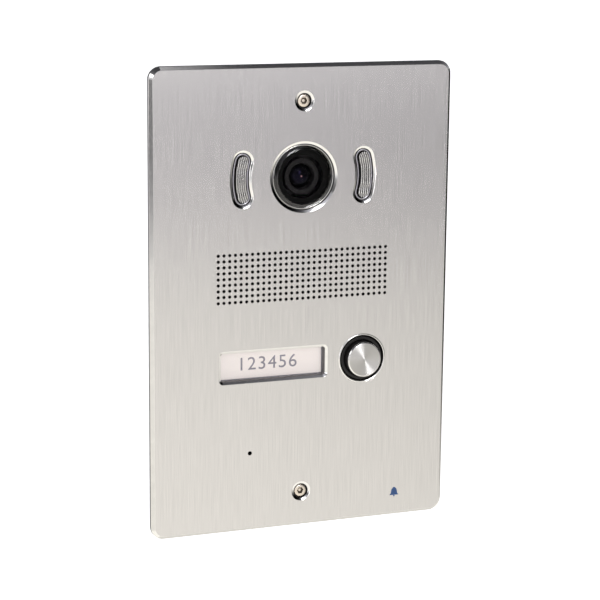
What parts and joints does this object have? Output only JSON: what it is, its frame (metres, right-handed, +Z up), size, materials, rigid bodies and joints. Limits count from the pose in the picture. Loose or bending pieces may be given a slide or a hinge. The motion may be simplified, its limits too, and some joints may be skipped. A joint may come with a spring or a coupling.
{
  "type": "door intercom panel",
  "caption": "Flat brushed metal door intercom panel with camera window, night lamps, speaker grille, lit name window, round call button and a plastic rear cover.",
  "frame": {"origin": "centre of the faceplate's rear face, which seats on the wall", "axes": "+Z up the faceplate, +X to the right as a visitor sees it, +Y back into the wall, so the front faces -Y"},
  "size_m": [0.12, 0.0306, 0.1784],
  "materials": {
    "brushed_plate": "vertical satin grain, polished edges",
    "screw_steel": "nickel plated",
    "brass": "turned",
    "copper_wire": "enamelled winding",
    "spun_metal": "spun face, fine circular grain",
    "clear_plastic": "moulded clear polycarbonate, polished",
    "lens_glass": "coated optical glass",
    "led_epoxy": "clear epoxy",
    "black_plastic": "fine moulded texture",
    "grey_plastic": "glass filled nylon",
    "foam": "closed cell foam",
    "acoustic_cloth": "woven acoustic cloth",
    "card": "printed card",
    "milky_plastic": "translucent white",
    "circuit_board": "green solder mask",
    "chip": "moulded epoxy",
    "terminal_plastic": "moulded",
    "trimmer_plastic": "moulded",
    "magnet": "plated ferrite"
  },
  "bodies": {
    "panel": {"faceplate": "brushed_plate", "rear_gasket": "foam", "rear_cover": "black_plastic", "mounting_screw_top": "screw_steel", "mounting_screw_bottom": "screw_steel", "window_seal": "foam", "camera_window": "clear_plastic", "camera_mask": "black_plastic", "camera_bracket": "grey_plastic", "grille_cloth": "acoustic_cloth", "speaker_seal": "foam", "speaker_basket": "screw_steel", "speaker_cone": "milky_plastic", "voice_coil": "copper_wire", "speaker_magnet": "magnet", "microphone_boot": "foam", "microphone_capsule": "screw_steel", "nameplate_window": "clear_plastic", "name_card": "card", "light_guide": "milky_plastic", "nameplate_tray": "black_plastic", "nameplate_led_left": "milky_plastic", "nameplate_led_right": "milky_plastic", "button_housing": "black_plastic", "button_spring": "screw_steel", "switch_body": "chip", "main_board": "circuit_board", "board_screw_upper": "screw_steel", "board_screw_lower": "screw_steel", "terminal_block": "terminal_plastic", "trimmer_body": "trimmer_plastic", "ir_window_left": "clear_plastic", "ir_board_left": "circuit_board", "ir_led_left_1": "led_epoxy", "ir_led_left_2": "led_epoxy", "ir_led_left_3": "led_epoxy", "ir_window_right": "clear_plastic", "ir_board_right": "circuit_board", "ir_led_right_1": "led_epoxy", "ir_led_right_2": "led_epoxy", "ir_led_right_3": "led_epoxy", "standoff_top_left": "brass", "cover_screw_top_left": "screw_steel", "standoff_top_right": "brass", "cover_screw_top_right": "screw_steel", "standoff_bottom_left": "brass", "cover_screw_bottom_left": "screw_steel", "standoff_bottom_right": "brass", "cover_screw_bottom_right": "screw_steel"},
    "call_button": {"button_plunger": "black_plastic", "button_face": "spun_metal"},
    "button_switch": {"switch_plunger": "screw_steel"},
    "pan_ring": {"camera_pan_ring": "grey_plastic"},
    "camera": {"lens_holder": "black_plastic", "lens_barrel": "black_plastic", "lens_glass": "lens_glass", "image_sensor": "chip", "camera_board": "circuit_board"},
    "volume_rotor": {"trimmer_rotor": "milky_plastic"}
  },
  "joints": [
    {"name": "button_press", "type": "slide", "parent": "panel", "child": "call_button", "axis": [0, 1, 0], "range_m": [0, 0.0012], "stiffness_N_per_m": 1500, "springref_m": -0.0008, "deforming": ["button_spring"]},
    {"name": "switch_press", "type": "slide", "parent": "panel", "child": "button_switch", "axis": [0, 1, 0], "range_m": [0, 0.0012]},
    {"name": "camera_pan", "type": "hinge", "parent": "panel", "child": "pan_ring", "pos_m": [0, 0.0075, 0.0469], "axis": [0, 0, 1], "range_deg": [-6, 6]},
    {"name": "camera_tilt", "type": "hinge", "parent": "pan_ring", "child": "camera", "pos_m": [0, 0.0075, 0.0469], "axis": [1, 0, 0], "range_deg": [-6, 6]},
    {"name": "volume_adjust", "type": "hinge", "parent": "panel", "child": "volume_rotor", "pos_m": [0.028, 0.0175, 0.005], "axis": [0, 1, 0], "range_deg": [-135, 135]}
  ],
  "couplings": [
    {"joint": "switch_press", "follows": "button_press", "ratio": 1}
  ]
}
